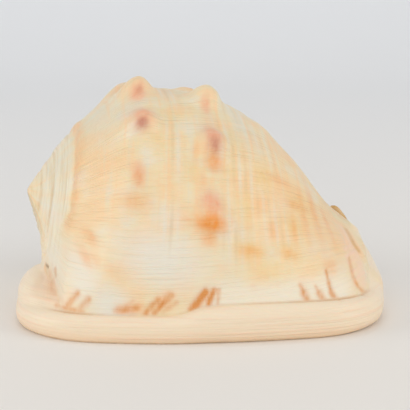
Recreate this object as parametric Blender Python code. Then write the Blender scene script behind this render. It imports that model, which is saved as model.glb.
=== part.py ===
"""A helmet conch shell, resting on its mouth: one natural solid, hollow, with its mouth open underneath.

The apex points to -X, the front canal to +X, the thick outer lip to -Y and the shield to +Y.
Run with: blender --background --python part.py
"""

import math

import bmesh
import bpy
import numpy as np
from mathutils import Matrix, Vector

MM = 0.001

# Driving dimensions in millimetres and degrees, measured on the resting shell.
APEX = Vector((-108.0, -7.0, 69.5))
CENTRING = Vector((2.1, 12.1, 0.0))  # moves the finished shell's box onto the origin
AXIS_TILT = 11.0  # the coil axis runs down towards the canal
AXIS_YAW = 8.0  # and a little away from the lip
COIL_LENGTH = 206.0
GROWTH_PER_TURN = 1.7
SUTURE_STEP = 1.6
SUTURE_H = 20.5
SPIRE_SLOPE = 1.95  # radius gained for each millimetre along the axis
FLOOR_GAP = 6.0  # the mouth side of the whorl stays this far above the resting plane
WALL = 5.8

# Half outline of the last whorl, as distance along the axis and radius, above the axis.
WHORL_PROFILE = (
    (SUTURE_H, 40.0),
    (29.0, 51.0),
    (41.0, 64.5),
    (53.0, 72.0),
    (67.0, 74.5),
    (82.0, 75.5),
    (100.0, 74.0),
    (115.0, 70.5),
    (131.0, 62.5),
    (152.0, 47.5),
    (173.0, 27.0),
    (190.0, 16.0),
    (200.0, 8.0),
    (COIL_LENGTH, 0.0),
)

# The knobs that the photo shows, as angle, distance along the axis at full size, and height.
SEEN_KNOBS = (
    (21.0, 48.0, 3.5),
    (50.0, 51.5, 7.5),
    (80.0, 51.0, 9.5),
    (12.5, 89.0, 7.5),
    (42.5, 90.5, 8.0),
    (75.0, 92.0, 10.0),
    (70.0, 127.0, 1.8),
)
# Their rows carry on round the back: distance along the axis, first angle, spacing, count and height.
BACK_KNOBS = (
    (48.0, 106.0, 27.0, 6, 6.0),
    (90.0, 104.0, 29.0, 5, 4.5),
    (124.0, 102.0, 32.0, 4, 2.0),
)
KNOB_RADIUS = 9.3

# Outline of the lip and the shield on the resting plane, from the left end round the front.
RIM_OUTLINE = (
    (-111, -40), (-104, -71), (-80, -92), (-42, -99), (4, -99), (46, -93),
    (80, -83), (100, -63), (106, -34), (103, -6), (92, 22), (72, 46),
    (40, 63), (2, 73), (-38, 75), (-72, 64), (-94, 42), (-105, 6),
)
RIM_CENTRE = Vector((-8.0, -10.0, 0.0))
RIM_NOSE = 9.0
CREASE_INSET = 8.5


def unit_frame():
    """The coil axis, the direction towards the lip side and the direction away from the table."""
    tilt, yaw = math.radians(AXIS_TILT), math.radians(AXIS_YAW)
    axis = Vector((math.cos(tilt) * math.cos(yaw), math.cos(tilt) * math.sin(yaw), -math.sin(tilt)))
    front = Vector((math.sin(yaw), -math.cos(yaw), 0.0))
    return axis, front, front.cross(axis)


AXIS, FRONT, UP = unit_frame()


def smooth_curve(points, closed=False, steps=24):
    """Points along a Catmull-Rom curve through the given ones, with this many steps in each span."""
    given = np.array(points, float)
    count = len(given)
    spans = count if closed else count - 1
    curve = []
    for i in range(spans):
        picks = range(i - 1, i + 3)
        a, b, c, d = [given[j % count] if closed else given[min(max(j, 0), count - 1)] for j in picks]
        for f in np.arange(steps) / steps:
            bend = (2 * a - 5 * b + 4 * c - d) * f**2 + (3 * b - a - 3 * c + d) * f**3
            curve.append(0.5 * (2 * b + (c - a) * f + bend))
    curve.append(given[0] if closed else given[-1])
    return np.array(curve)


def at(curve, t):
    """The point at t, from 0 to 1, along the steps of a curve."""
    position = min(max(t, 0.0), 1.0) * (len(curve) - 1)
    low = min(int(position), len(curve) - 2)
    share = position - low
    return [float(v) for v in curve[low] * (1 - share) + curve[low + 1] * share]


def heading(curve, t):
    """Direction of a curve at t, level if its points are flat ones."""
    ahead, behind = at(curve, t + 0.01), at(curve, t - 0.01)
    steps = [ahead[i] - behind[i] for i in range(len(ahead))]
    return Vector((steps + [0.0])[:3]).normalized()


WHORL_CURVE = smooth_curve(WHORL_PROFILE)
RIM_CURVE = smooth_curve(RIM_OUTLINE, closed=True)


def profile_radius(h):
    """Radius of the last whorl at distance h from the apex, before growth is applied."""
    return float(np.interp(h, WHORL_CURVE[:, 0], WHORL_CURVE[:, 1], left=0.0, right=0.0))


def growth(theta):
    """Size of the whorl at this angle against its size on top, where theta is 90 degrees."""
    return GROWTH_PER_TURN ** ((90.0 - theta) / 360.0)


def spire_radius(theta, h):
    """The low cone of the older whorls, with a step outwards at each suture."""
    turns = math.log(SUTURE_H * growth(theta) / max(h, 0.5)) / math.log(GROWTH_PER_TURN)
    step = SUTURE_STEP * (turns % 1.0) * min(1.0, h / 12.0)
    return SPIRE_SLOPE * h + step


def all_knobs():
    knobs = list(SEEN_KNOBS)
    for row_h, first, spacing, count, height in BACK_KNOBS:
        knobs += [(first + i * spacing, row_h, height) for i in range(count)]
    return knobs


KNOBS = all_knobs()


def knob_height(theta, h):
    total = 0.0
    for angle, row_h, height in KNOBS:
        if abs(theta - angle) < 30.0:
            size = growth(angle)
            along = h - row_h * size
            across = math.radians(theta - angle) * profile_radius(row_h) * size
            distance = math.hypot(along, across) / KNOB_RADIUS
            total += height * math.exp(-min(distance, 4.0) ** 2.6)
    return total


def rim_section(x, y):
    """Half height and middle height of the rim's rounded edge, and the slope of its upper side."""
    front = 0.5 - 0.5 * math.tanh((y + 5.0) / 25.0)
    left_end = math.exp(-(((x + 112.0) / 20.0) ** 2))
    right_end = math.exp(-(((x - 108.0) / 22.0) ** 2))
    # The lip steps down to the left of its middle.
    thinner = 0.5 - 0.5 * math.tanh((x + 7.1) / 8.0)
    half = 5.0 + 5.8 * front - (2.9 * thinner + 1.0 * left_end + 1.6 * right_end) * front
    centre = half - 0.8 + 0.8 * left_end + 1.5 * right_end * front
    slope = 0.4 + 1.0 * left_end + 0.9 * right_end
    return half, centre, slope


def crease_table():
    """Where the whorl meets the lip: rows of distance along the axis, angle and radius, in order."""
    rows = []
    for x, y in RIM_CURVE:
        if y < -20.0:
            half, centre, slope = rim_section(x, y)
            inward = (RIM_CENTRE - Vector((x, y, 0.0))).normalized()
            offset = Vector((x, y, centre + half - 1.2)) + inward * CREASE_INSET - APEX
            h = offset.dot(AXIS)
            out = offset - AXIS * h
            rows.append((h, math.degrees(math.atan2(out.dot(UP), out.dot(FRONT))), out.length))
    return np.array(sorted(rows))


CREASES = crease_table()


def whorl_radius(theta, h):
    """Outer radius of the coil. The angle grows from the lip over the top, and h from the apex."""
    size = growth(theta)
    new = size * profile_radius(h / size)
    if new > 0:
        new += knob_height(theta, h)
    old_size = size / GROWTH_PER_TURN
    old = old_size * profile_radius(h / old_size)
    if h < SUTURE_H * size:
        old = max(old, spire_radius(theta, h))
    radius = spread_to_lip(theta, h, max(new, old))
    sine = math.sin(math.radians(theta))
    if sine < 0:
        to_floor = APEX.z - h * math.sin(math.radians(AXIS_TILT)) - FLOOR_GAP
        radius = min(radius, to_floor / (-sine * math.cos(math.radians(AXIS_TILT))))
    return radius


def spread_to_lip(theta, h, radius):
    """Bends the last part of the whorl out, so that it flows into the crease above the lip."""
    low, high = float(CREASES[0, 0]), float(CREASES[-1, 0])
    if not low < h < high:
        return radius
    crease_angle = float(np.interp(h, CREASES[:, 0], CREASES[:, 1]))
    crease_radius = float(np.interp(h, CREASES[:, 0], CREASES[:, 2]))
    start = float(np.interp(h, (15.0, 45.0, 100.0, 170.0), (-12.0, 15.0, 25.0, 35.0)))
    share = min(max((start - theta) / (start - crease_angle), 0.0), 1.0)
    ends = min(1.0, (h - low) / 16.0, (high - h) / 2.0)
    weight = share**2.2 * ends
    return radius + (crease_radius - radius) * weight


def coil_point(theta, h, radius):
    turn = math.radians(theta)
    return APEX + AXIS * h + radius * (FRONT * math.cos(turn) + UP * math.sin(turn))


def shaped_ball(name, segments, rings, place):
    """A closed ball whose vertices move to place(longitude share, latitude share), both from 0 to 1."""
    bm = bmesh.new()
    bmesh.ops.create_uvsphere(bm, u_segments=segments, v_segments=rings, radius=1.0)
    for vertex in bm.verts:
        longitude = math.atan2(vertex.co.y, vertex.co.x) / (2 * math.pi) % 1.0
        latitude = math.acos(min(max(vertex.co.z, -1.0), 1.0)) / math.pi
        vertex.co = (place(longitude, latitude) + CENTRING) * MM
    bmesh.ops.recalc_face_normals(bm, faces=bm.faces)
    if bm.calc_volume(signed=True) < 0:
        bmesh.ops.reverse_faces(bm, faces=bm.faces)
    mesh = bpy.data.meshes.new(name)
    bm.to_mesh(mesh)
    bm.free()
    obj = bpy.data.objects.new(name, mesh)
    bpy.context.scene.collection.objects.link(obj)
    return obj


def helper(obj):
    """Marks an object that only cuts or fills, so it isn't a piece of its own."""
    obj.hide_render = True
    obj.display_type = "WIRE"
    return obj


def whorls():
    """Spire and last whorl. The seam between the first and last angle lies at the mouth."""
    def place(longitude, latitude):
        h = COIL_LENGTH * (0.45 * latitude + 0.55 * latitude**2)
        theta = 298.0 - 360.0 * longitude
        return coil_point(theta, h, whorl_radius(theta, h))

    return shaped_ball("shell", 160, 110, place)


def rim_plate():
    """Lip and shield together: a thick plate with a rounded edge, which the whorl stands on."""
    def place(longitude, latitude):
        x, y = at(RIM_CURVE, longitude)
        half, centre, slope = rim_section(x, y)
        edge = Vector((x, y, 0.0))
        inward = RIM_CENTRE - edge
        reach = inward.length
        inward.normalize()
        width = RIM_NOSE * half / 10.8
        if 0.3 <= latitude <= 0.7:
            swing = math.pi * (0.5 - (latitude - 0.3) / 0.4)
            out = width * (1.0 - abs(math.cos(swing)) ** 0.8)
            height = centre + half * math.copysign(abs(math.sin(swing)) ** 0.8, swing)
            return edge + inward * out + Vector((0, 0, height))
        upper = latitude < 0.3
        share = latitude / 0.3 if upper else (1.0 - latitude) / 0.3
        distance = width + (reach - width) * (1.0 - share)
        past = distance - width
        if upper:
            groove = 1.4 * math.exp(-(((past - 3.0) / 3.0) ** 2))
            height = centre + half + 16.0 * math.tanh(slope * past / 16.0) - groove
        else:
            lift = (centre - half + 0.8) * math.exp(-((past / 14.0) ** 2))
            height = lift - 0.8 + 3.2 * math.tanh(0.14 * past / 3.2)
        return edge + inward * distance + Vector((0, 0, height))

    return shaped_ball("rim_plate", 128, 40, place)


def tube(name, path, segments=28, rings=48):
    """A closed round tube along a smooth curve through points of the form x, y, z, radius."""
    curve = smooth_curve(path)

    def place(longitude, latitude):
        t = 0.5 - 0.5 * math.cos(math.pi * latitude)
        here = at(curve, t)
        direction = heading(curve, t)
        side = direction.cross(Vector((0, 0, 1))).normalized()
        over = side.cross(direction)
        turn = 2 * math.pi * longitude
        bulge = here[3] * math.sin(math.pi * latitude) ** 0.35
        return Vector(here[:3]) + bulge * (side * math.cos(turn) + over * math.sin(turn))

    return shaped_ball(name, segments, rings, place)


# Each path below is x, y, z and radius, and the mouth's is x and y.
CANAL_NECK = ((30, 4, 34, 32), (60, 10, 30, 28), (76, 18, 25, 20), (80, 30, 28, 12), (78, 37, 36, 9))
CANAL_LIP_SIDE = (
    (88, -64, 9, 10), (95, -35, 14, 12), (93, -5, 17, 13), (88, 8, 23, 14),
    (85, 18, 29, 13), (82, 28, 33, 12), (79, 34, 39, 10),
)
CANAL_SHIELD_SIDE = ((58, 46, 6, 7), (72, 43, 9, 8), (79, 43, 18, 8), (80, 42, 28, 7), (78, 38, 36, 6))
CANAL_GROOVE = (
    (64, -16, 0, 5.5), (84, 6, 3, 6.5), (98, 24, 8, 7.5),
    (102, 35, 20, 8), (100, 40, 34, 8), (96, 44, 52, 8),
)
# The broken edge that stands up on the canal, and the lobe where the lip ends by the spire.
FLAKE = (
    (76.5, 38, 47.5, 1.6), (82.5, 38, 48.3, 2.2), (86.5, 37, 43.7, 2.4),
    (90, 35, 39.3, 2), (92.5, 33, 36, 1.5),
)
LEFT_EAR = (
    (-78, -76, 9, 8), (-92, -59, 13, 10.5), (-94.6, -39, 17.5, 11), (-94, -19, 15, 10.5), (-91, 2, 9, 9),
)
MOUTH_PATH = ((-82, -36), (-62, -49), (-25, -53), (15, -48), (48, -33), (72, -13), (88, 6))


def mouth_slot():
    """The long narrow mouth, with teeth on the lip side and folds on the shield side."""
    teeth = 11
    curve = smooth_curve(MOUTH_PATH)

    def place(longitude, latitude):
        t = 0.5 - 0.5 * math.cos(math.pi * latitude)
        x, y = at(curve, t)
        ahead = heading(curve, t)
        side = Vector((ahead.y, -ahead.x, 0.0)).normalized()
        turn = 2 * math.pi * longitude
        swell = math.sin(math.pi * latitude) ** 0.4
        lean = math.cos(turn)
        if lean > 0:
            half = swell * (7.0 + 1.3 * math.cos(2 * math.pi * teeth * t))
        else:
            half = swell * (7.0 + 0.7 * math.cos(2 * math.pi * 1.6 * teeth * t))
        across = half * math.copysign(abs(lean) ** 0.5, lean)
        height = 9.0 + 19.0 * swell * math.sin(turn)
        return Vector((x, y, height)) + side * across

    return shaped_ball("mouth_slot", 28, 150, place)


def hollow_band(theta, h):
    """Middle radius and half depth of the winding space at one place. The half depth can be negative."""
    size = growth(theta)
    outside = whorl_radius(theta, h) if theta < 298.0 else size * profile_radius(h / size)
    wall = WALL * max(size, 0.5)
    older = size / GROWTH_PER_TURN
    inside = max(older * profile_radius(h / older), 8.0 * size) + 0.5 * wall
    return 0.5 * (outside - wall + inside), 0.5 * (outside - wall - inside)


def hollow_reach(theta):
    """How far along the axis the space is deep enough, to each side of its middle."""
    size = growth(theta)
    ends = []
    for step in (-3.0, 3.0):
        h = 104.0
        while 20.0 < h < 195.0 and hollow_band(theta, h * size)[1] > 2.5:
            h += step
        ends.append((h - step) * size)
    return ends


def hollow():
    """The space that winds inwards from the mouth, through the last whorl and the one inside it."""
    first, last = -46.0, 480.0
    rings = 130
    reaches = [hollow_reach(first + (last - first) * i / rings) for i in range(rings + 1)]

    def place(longitude, latitude):
        theta = first + (last - first) * latitude
        low, high = reaches[round(latitude * rings)]
        opening, ending = min(latitude / 0.04, 1.0), min((1.0 - latitude) / 0.1, 1.0)
        swell = math.sqrt(max(opening * (2.0 - opening) * ending * (2.0 - ending), 0.0))
        turn = 2 * math.pi * longitude
        h = 0.5 * (low + high) + 0.5 * (high - low) * swell * math.cos(turn)
        middle, half = hollow_band(theta, h)
        rise = math.copysign(abs(math.sin(turn)) ** 0.7, math.sin(turn))
        return coil_point(theta, h, middle + max(half, 0.0) * swell * rise)

    return shaped_ball("hollow", 36, rings, place)


def joined(name, pieces):
    """One object with the meshes of several overlapping closed pieces, which an even skin then unites."""
    bm = bmesh.new()
    for piece in pieces:
        bm.from_mesh(piece.data)
        bpy.data.objects.remove(piece)
    mesh = bpy.data.meshes.new(name)
    bm.to_mesh(mesh)
    bm.free()
    obj = bpy.data.objects.new(name, mesh)
    bpy.context.scene.collection.objects.link(obj)
    return obj


def even_skin(obj, size):
    modifier = obj.modifiers.new("even_skin", "REMESH")
    modifier.mode = "VOXEL"
    modifier.voxel_size = size * MM


def cut_away(obj, other):
    modifier = obj.modifiers.new(other.name, "BOOLEAN")
    modifier.object = other
    modifier.operation = "DIFFERENCE"
    modifier.solver = "EXACT"


def table():
    """Everything below the resting plane, which leaves a real flat to stand on."""
    bm = bmesh.new()
    bmesh.ops.create_cube(bm, size=1.0, matrix=Matrix.Translation((0, 0, -0.5)))
    bmesh.ops.scale(bm, vec=(0.4, 0.4, 0.04), verts=bm.verts)
    mesh = bpy.data.meshes.new("table")
    bm.to_mesh(mesh)
    bm.free()
    obj = bpy.data.objects.new("table", mesh)
    bpy.context.scene.collection.objects.link(obj)
    return helper(obj)


def shell_material():
    material = bpy.data.materials.new("polished_shell")
    material.use_nodes = True
    shader = material.node_tree.nodes["Principled BSDF"]
    shader.inputs["Base Color"].default_value = (0.84, 0.68, 0.46, 1.0)
    shader.inputs["Roughness"].default_value = 0.35
    shader.inputs["Metallic"].default_value = 0.0
    return material


def build():
    for obj in list(bpy.data.objects):
        bpy.data.objects.remove(obj)
    solids = (
        whorls(),
        rim_plate(),
        tube("canal_neck", CANAL_NECK),
        tube("canal_lip_side", CANAL_LIP_SIDE),
        tube("canal_shield_side", CANAL_SHIELD_SIDE),
        tube("flake", FLAKE),
        tube("left_ear", LEFT_EAR),
    )
    shell = joined("shell", solids)
    even_skin(shell, 1.5)
    spaces = helper(joined("spaces", (hollow(), mouth_slot(), tube("canal_groove", CANAL_GROOVE))))
    even_skin(spaces, 1.5)
    cut_away(shell, spaces)
    even_skin(shell, 1.5)
    ease = shell.modifiers.new("ease", "SMOOTH")
    ease.factor = 0.5
    ease.iterations = 2
    thin = shell.modifiers.new("fewer_faces", "DECIMATE")
    thin.ratio = 0.036
    cut_away(shell, table())
    shell.data.materials.append(shell_material())
    return shell


build()
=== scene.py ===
# A large helmet conch lying on its mouth on a pale table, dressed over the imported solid.
import math
import bpy
import numpy as np
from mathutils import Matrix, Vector


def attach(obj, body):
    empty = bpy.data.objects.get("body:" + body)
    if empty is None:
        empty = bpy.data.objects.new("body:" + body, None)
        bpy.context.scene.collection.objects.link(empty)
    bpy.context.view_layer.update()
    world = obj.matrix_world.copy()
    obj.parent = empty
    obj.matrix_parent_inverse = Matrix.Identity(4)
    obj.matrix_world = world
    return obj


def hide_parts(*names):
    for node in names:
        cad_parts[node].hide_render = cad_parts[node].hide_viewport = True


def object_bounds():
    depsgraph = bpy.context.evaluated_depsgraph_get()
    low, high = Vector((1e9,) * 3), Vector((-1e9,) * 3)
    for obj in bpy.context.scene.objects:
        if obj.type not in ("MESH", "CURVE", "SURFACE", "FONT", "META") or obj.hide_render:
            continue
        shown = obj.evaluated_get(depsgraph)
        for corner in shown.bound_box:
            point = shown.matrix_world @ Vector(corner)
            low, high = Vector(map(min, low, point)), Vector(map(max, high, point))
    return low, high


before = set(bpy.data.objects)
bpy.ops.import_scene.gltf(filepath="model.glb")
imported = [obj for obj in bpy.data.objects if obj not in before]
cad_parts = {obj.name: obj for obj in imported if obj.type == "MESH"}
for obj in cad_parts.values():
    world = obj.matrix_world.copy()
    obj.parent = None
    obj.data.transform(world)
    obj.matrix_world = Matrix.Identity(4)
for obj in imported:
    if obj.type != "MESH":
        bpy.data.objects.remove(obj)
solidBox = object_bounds()
print("frame loaded")

mm = 0.001

# Lengths are in millimetres and angles in degrees, as in the part's source.
coil = {
    "apex": (-105.9, 5.1, 69.5),
    "tilt": 11.0,  # the coil axis runs down towards the canal
    "yaw": 8.0,  # and away from the lip
    "length": 206.0,
    "growthPerTurn": 1.7,
    "suture": 20.5,
    "spireSlope": 1.95,
    "spireStep": 1.9,
    "floorGap": 6.0,
    "wall": 5.8,
    "seam": -62.0,  # the angle under the lip where the coil's skin closes on itself
    # distances along the axis, and the angles there from which the whorl flares out to the lip
    "spreadStart": ((15.0, 45.0, 100.0, 170.0), (-12.0, 15.0, 25.0, 35.0)),
    "spreadCurve": 2.2,
    "outline": (
        (20.5, 40.0), (29.0, 51.0), (41.0, 64.5), (53.0, 72.0), (67.0, 74.5), (82.0, 75.5), (100.0, 74.0),
        (115.0, 70.5), (131.0, 62.5), (152.0, 47.5), (173.0, 27.0), (190.0, 16.0), (200.0, 8.0), (206.0, 0.0),
    ),
}

tilt = math.radians(coil["tilt"])
yaw = math.radians(coil["yaw"])
apex = np.array(coil["apex"])
axisAlong = np.array((math.cos(tilt) * math.cos(yaw), math.cos(tilt) * math.sin(yaw), -math.sin(tilt)))
axisFront = np.array((math.sin(yaw), -math.cos(yaw), 0.0))
axisUp = np.cross(axisFront, axisAlong)


def smoothCurve(points, closed=False, steps=24):
    given = np.array(points, float)
    count = len(given)
    spans = count if closed else count - 1
    curve = []
    for i in range(spans):
        picks = range(i - 1, i + 3)
        a, b, c, d = [given[j % count] if closed else given[min(max(j, 0), count - 1)] for j in picks]
        for f in np.arange(steps) / steps:
            bend = (2 * a - 5 * b + 4 * c - d) * f**2 + (3 * b - a - 3 * c + d) * f**3
            curve.append(0.5 * (2 * b + (c - a) * f + bend))
    curve.append(given[0] if closed else given[-1])
    return np.array(curve)


def pointAt(curve, t):
    place = np.linspace(0.0, 1.0, len(curve))
    return np.stack([np.interp(t, place, curve[:, k]) for k in range(curve.shape[1])], axis=-1)


def unit(vectors):
    return vectors / np.maximum(np.linalg.norm(vectors, axis=-1, keepdims=True), 1e-9)


def fade(value, low, high):
    share = np.clip((value - low) / (high - low), 0.0, 1.0)
    return share * share * (3.0 - 2.0 * share)


whorlCurve = smoothCurve(coil["outline"])


def profileRadius(h):
    return np.interp(h, whorlCurve[:, 0], whorlCurve[:, 1], left=0.0, right=0.0)


def growth(theta):
    return coil["growthPerTurn"] ** ((90.0 - theta) / 360.0)


# Each knob is its angle, its distance along the axis at full size, and its height.
knobs = {
    "seen": (
        (21.0, 48.0, 3.5), (50.0, 51.5, 7.5), (80.0, 51.0, 9.5),
        (12.5, 89.0, 7.5), (42.5, 90.5, 8.0), (75.0, 92.0, 10.0), (70.0, 127.0, 1.8),
    ),
    # rows that carry on round the back: distance, first angle, spacing, count, height
    "backRows": ((48.0, 106.0, 27.0, 6, 6.0), (90.0, 104.0, 29.0, 5, 4.5), (124.0, 102.0, 32.0, 4, 2.0)),
    "radius": 9.3,
    "bluntness": 2.6,
}


def allKnobs():
    placed = list(knobs["seen"])
    for rowPlace, first, spacing, count, height in knobs["backRows"]:
        placed += [(first + i * spacing, rowPlace, height) for i in range(count)]
    return placed


def knobDistance(theta, h, angle, place, radius):
    size = growth(angle)
    across = np.radians(theta - angle) * profileRadius(place) * size
    return np.hypot(h - place * size, across) / radius


def knobHeight(theta, h):
    total = np.zeros_like(h)
    for angle, place, height in allKnobs():
        distance = np.minimum(knobDistance(theta, h, angle, place, knobs["radius"]), 4.0)
        total += height * np.exp(-(distance ** knobs["bluntness"]))
    return total


rim = {
    "outline": (
        (-108.9, -27.9), (-101.9, -58.9), (-77.9, -79.9), (-39.9, -86.9), (6.1, -86.9), (48.1, -80.9),
        (82.1, -70.9), (102.1, -50.9), (108.1, -21.9), (105.1, 6.1), (94.1, 34.1), (74.1, 58.1),
        (42.1, 75.1), (4.1, 85.1), (-35.9, 87.1), (-69.9, 76.1), (-91.9, 54.1), (-102.9, 18.1),
    ),
    "centre": (-5.9, 2.1, 0.0),
    "creaseInset": 8.5,
    "nose": 9.0,
    "backHalf": 5.0,  # half height of the roll at the back, and what the front adds
    "frontAdds": 5.8,
    "frontEnds": 7.1,  # the y where the thick front passes into the thin back
    "lipStep": 2.9,  # the lip is thinner to the left of its middle
    "lipStepPlace": -5.0,
    "squareness": 0.8,
    "noseShare": (0.3, 0.7),  # the latitudes of the sphere that become the rounded edge
    "grooveDepth": 1.4,
    "groovePlace": 3.0,
    "rise": 16.0,  # most that the upper side climbs towards the middle, and the lower side
    "underRise": 3.2,
}
rimCurve = smoothCurve(rim["outline"], closed=True)
rimCentre = np.array(rim["centre"])


# Half height and middle height of the rim's rounded edge, and the slope of its upper side.
def rimSection(x, y):
    front = 0.5 - 0.5 * np.tanh((y - rim["frontEnds"]) / 25.0)
    leftEnd = np.exp(-(((x + 109.9) / 20.0) ** 2))
    rightEnd = np.exp(-(((x - 110.1) / 22.0) ** 2))
    thinner = 0.5 - 0.5 * np.tanh((x - rim["lipStepPlace"]) / 8.0)
    half = rim["backHalf"] + rim["frontAdds"] * front - (rim["lipStep"] * thinner + leftEnd + 1.6 * rightEnd) * front
    centre = half - 0.8 + 0.8 * leftEnd + 1.5 * rightEnd * front
    slope = 0.4 + 1.0 * leftEnd + 0.9 * rightEnd
    return half, centre, slope


# Where the crease above the lip runs, as distance along the coil's axis, angle and radius.
def creaseTable():
    edge = rimCurve[rimCurve[:, 1] < -7.9]
    half, centre, slope = rimSection(edge[:, 0], edge[:, 1])
    edge = np.column_stack((edge, np.zeros(len(edge))))
    offset = edge + unit(rimCentre - edge) * rim["creaseInset"] - apex
    offset[:, 2] += centre + half - 1.2
    h = offset @ axisAlong
    out = offset - h[:, None] * axisAlong
    angle = np.degrees(np.arctan2(out @ axisUp, out @ axisFront))
    rows = np.column_stack((h, angle, np.linalg.norm(out, axis=1)))
    return rows[np.argsort(rows[:, 0])]


creases = creaseTable()


# Under its start angle the whorl flares out until it meets the crease along the lip.
def spreadToLip(theta, h, radius):
    low, high = creases[0, 0], creases[-1, 0]
    creaseAngle = np.interp(h, creases[:, 0], creases[:, 1])
    creaseRadius = np.interp(h, creases[:, 0], creases[:, 2])
    start = np.interp(h, *coil["spreadStart"])
    share = np.clip((start - theta) / (start - creaseAngle), 0.0, 1.0)
    ends = np.clip(np.minimum((h - low) / 16.0, (high - h) / 2.0), 0.0, 1.0)
    return radius + (creaseRadius - radius) * share ** coil["spreadCurve"] * ends


# The last whorl or the older one inside it, whichever is wider, kept above the table.
def whorlRadius(theta, h):
    size = growth(theta)
    new = size * profileRadius(h / size)
    new = np.where(new > 0, new + knobHeight(theta, h), 0.0)
    oldSize = size / coil["growthPerTurn"]
    old = oldSize * profileRadius(h / oldSize)
    turns = np.log(coil["suture"] * size / np.maximum(h, 0.5)) / math.log(coil["growthPerTurn"])
    spire = coil["spireSlope"] * h + coil["spireStep"] * (turns % 1.0) * np.minimum(1.0, h / 12.0)
    old = np.where(h < coil["suture"] * size, np.maximum(old, spire), old)
    radius = spreadToLip(theta, h, np.maximum(new, old))
    sine = np.sin(np.radians(theta))
    toFloor = apex[2] - h * math.sin(tilt) - coil["floorGap"]
    limit = toFloor / np.maximum(-sine * math.cos(tilt), 1e-6)
    return np.where(sine < 0, np.minimum(radius, limit), radius)


def coilPoint(theta, h, radius):
    turn = np.radians(theta)
    out = np.cos(turn)[:, None] * axisFront + np.sin(turn)[:, None] * axisUp
    return apex + h[:, None] * axisAlong + radius[:, None] * out


def coilPlace(points):
    offset = points - apex
    h = offset @ axisAlong
    out = offset - h[:, None] * axisAlong
    theta = np.degrees(np.arctan2(out @ axisUp, out @ axisFront))
    theta = np.where(theta < coil["seam"], theta + 360.0, theta)
    return theta, h, np.linalg.norm(out, axis=1)


def readPoints(obj):
    points = np.empty(len(obj.data.vertices) * 3, np.float32)
    obj.data.vertices.foreach_get("co", points)
    return points.reshape(-1, 3).astype(float)


def readNormals(obj):
    normals = np.empty(len(obj.data.vertices) * 3, np.float32)
    obj.data.vertices.foreach_get("normal", normals)
    return normals.reshape(-1, 3)


def writePoints(obj, points):
    obj.data.vertices.foreach_set("co", points.astype(np.float32).ravel())
    obj.data.update()


def selectOnly(obj):
    bpy.ops.object.select_all(action="DESELECT")
    obj.select_set(True)
    bpy.context.view_layer.objects.active = obj


# A sphere is added and subdivided, then each of its points goes to the place for its longitude and latitude.
def shapedBall(name, segments, rings, place):
    bpy.ops.object.select_all(action="DESELECT")
    bpy.ops.mesh.primitive_uv_sphere_add(segments=segments, ring_count=rings, radius=1.0, calc_uvs=False)
    obj = bpy.context.object
    obj.name = name
    finishWith(obj, "SUBSURF", subdivision_type="SIMPLE", levels=2, render_levels=2)
    ball = unit(readPoints(obj))
    longitude = np.arctan2(ball[:, 1], ball[:, 0]) / (2 * math.pi) % 1.0
    latitude = np.arccos(np.clip(ball[:, 2], -1.0, 1.0)) / math.pi
    writePoints(obj, place(longitude, latitude) * mm)
    bpy.ops.object.mode_set(mode="EDIT")
    bpy.ops.mesh.select_all(action="SELECT")
    bpy.ops.mesh.normals_make_consistent(inside=False)
    bpy.ops.object.mode_set(mode="OBJECT")
    return obj


def whorls():
    def place(longitude, latitude):
        h = coil["length"] * (0.45 * latitude + 0.55 * latitude**2)
        theta = coil["seam"] + 360.0 - 360.0 * longitude
        return coilPoint(theta, h, whorlRadius(theta, h))

    return shapedBall("whorls", 160, 106, place)


# The roll of the lip and the shield: the sphere's poles go to the middle, and its waist to the rounded edge.
def rimPlate():
    def place(longitude, latitude):
        edge = pointAt(rimCurve, longitude)
        edge = np.column_stack((edge, np.zeros(len(edge))))
        half, centre, slope = rimSection(edge[:, 0], edge[:, 1])
        inward = rimCentre - edge
        reach = np.linalg.norm(inward, axis=1)
        inward = unit(inward)
        width = rim["nose"] * half / (rim["backHalf"] + rim["frontAdds"])
        noseTop, noseEnd = rim["noseShare"]
        swing = math.pi * (0.5 - (latitude - noseTop) / (noseEnd - noseTop))
        onNose = (latitude >= noseTop) & (latitude <= noseEnd)
        upper = latitude < noseTop
        nose = width * (1.0 - np.abs(np.cos(swing)) ** rim["squareness"])
        noseHeight = centre + half * np.sign(np.sin(swing)) * np.abs(np.sin(swing)) ** rim["squareness"]
        share = np.where(upper, latitude, 1.0 - latitude) / noseTop
        distance = width + (reach - width) * (1.0 - share)
        past = distance - width
        groove = rim["grooveDepth"] * np.exp(-(((past - rim["groovePlace"]) / 3.0) ** 2))
        over = centre + half + rim["rise"] * np.tanh(slope * past / rim["rise"]) - groove
        lift = (centre - half + 0.8) * np.exp(-((past / 14.0) ** 2))
        under = lift - 0.8 + rim["underRise"] * np.tanh(0.14 * past / rim["underRise"])
        inwards = np.where(onNose, nose, distance)
        height = np.where(onNose, noseHeight, np.where(upper, over, under))
        return edge + inward * inwards[:, None] + height[:, None] * (0.0, 0.0, 1.0)

    return shapedBall("rimPlate", 180, 80, place)


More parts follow.
